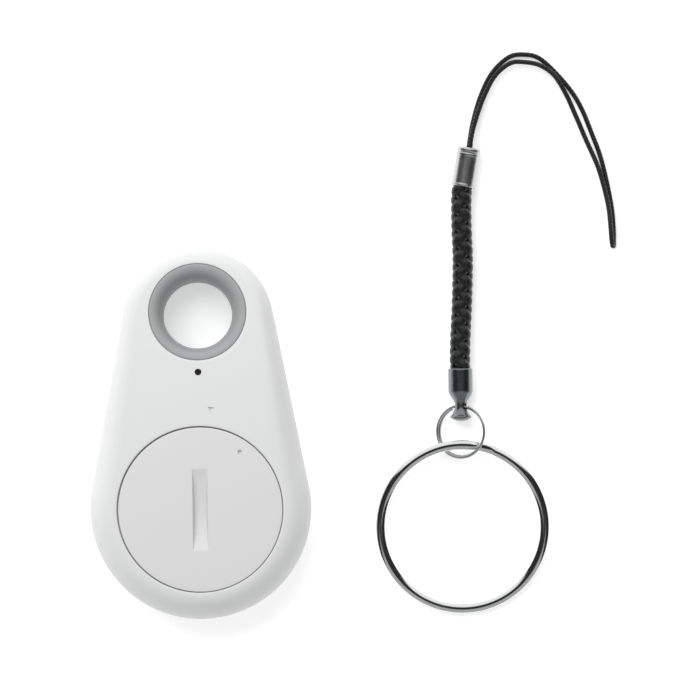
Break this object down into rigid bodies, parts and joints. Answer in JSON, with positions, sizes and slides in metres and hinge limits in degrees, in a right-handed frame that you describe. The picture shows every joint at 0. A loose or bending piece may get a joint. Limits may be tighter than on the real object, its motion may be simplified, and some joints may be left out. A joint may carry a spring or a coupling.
{
  "type": "bluetooth tracker tag",
  "caption": "Teardrop tracker tag with a bayonet battery door and a lined strap hole, with its braided strap, link ring and split key ring.",
  "frame": {"origin": "middle of the tag's footprint, on the plane that its flat front face rests on", "axes": "+Y along the tag towards its narrow end with the strap hole, +Z out of the domed back with the battery door, +X across the tag towards the strap that lies beside it"},
  "size_m": [0.0751, 0.0797, 0.011],
  "materials": {
    "white_plastic": "fine satin moulded",
    "door_plastic": "satin moulded",
    "grey_plastic": "satin grey",
    "steel_mesh": "fine woven mesh",
    "black_plastic": "moulded",
    "board_green": "solder mask",
    "bright_steel": "plain bright",
    "ceramic_white": "fired",
    "ceramic_tan": "fired",
    "clear_resin": "clear moulded",
    "gold_contact": "gold plated spring",
    "black_rubber": "moulded",
    "black_cord": "waxed plait",
    "bright_nickel": "nickel plated",
    "polished_metal": "polished"
  },
  "bodies": {
    "tag": {"front_shell": "white_plastic", "rear_shell": "white_plastic", "hole_liner": "grey_plastic", "sound_mesh": "steel_mesh", "tact_switch": "black_plastic", "circuit_board": "board_green", "bluetooth_chip": "black_plastic", "crystal": "bright_steel", "chip_antenna": "ceramic_white", "chip_parts": "ceramic_tan", "led": "clear_resin", "light_pipe": "clear_resin", "buzzer": "black_plastic", "cell_holder": "grey_plastic", "positive_contact": "gold_contact", "negative_contact": "gold_contact", "cell_can": "bright_steel", "cell_gasket": "black_rubber", "cell_cap": "bright_steel", "case_screws": "bright_steel"},
    "door": {"battery_door": "door_plastic"},
    "button": {"button_cap": "white_plastic", "button_plunger": "black_plastic"},
    "strap": {"loop_cord": "black_cord", "ferrule": "bright_nickel", "braided_cord": "black_cord", "end_cap": "polished_metal"},
    "link": {"link_ring": "bright_nickel"},
    "keyring": {"key_ring": "bright_nickel"}
  },
  "joints": [
    {"name": "door_twist", "type": "hinge", "parent": "tag", "child": "door", "pos_m": [0, -0.0106, 0.0105], "axis": [0, 0, 1], "range_deg": [0, 30]},
    {"name": "button_press", "type": "slide", "parent": "tag", "child": "button", "axis": [0, 0, 1], "range_m": [0, 0.00025], "stiffness_N_per_m": 6400},
    {"name": "strap_lift", "type": "slide", "parent": "tag", "child": "strap", "axis": [0, 0, 1], "range_m": [0, 0.03]},
    {"name": "link_swing", "type": "hinge", "parent": "strap", "child": "link", "pos_m": [0.037, 0.0032, 0.00195], "axis": [-0.8949, 0, -0.4462], "range_deg": [0, 90]},
    {"name": "key_ring_swing", "type": "hinge", "parent": "link", "child": "keyring", "pos_m": [0.037, -0.0023, 0.00165], "axis": [-1, 0, 0], "range_deg": [0, 90]}
  ]
}
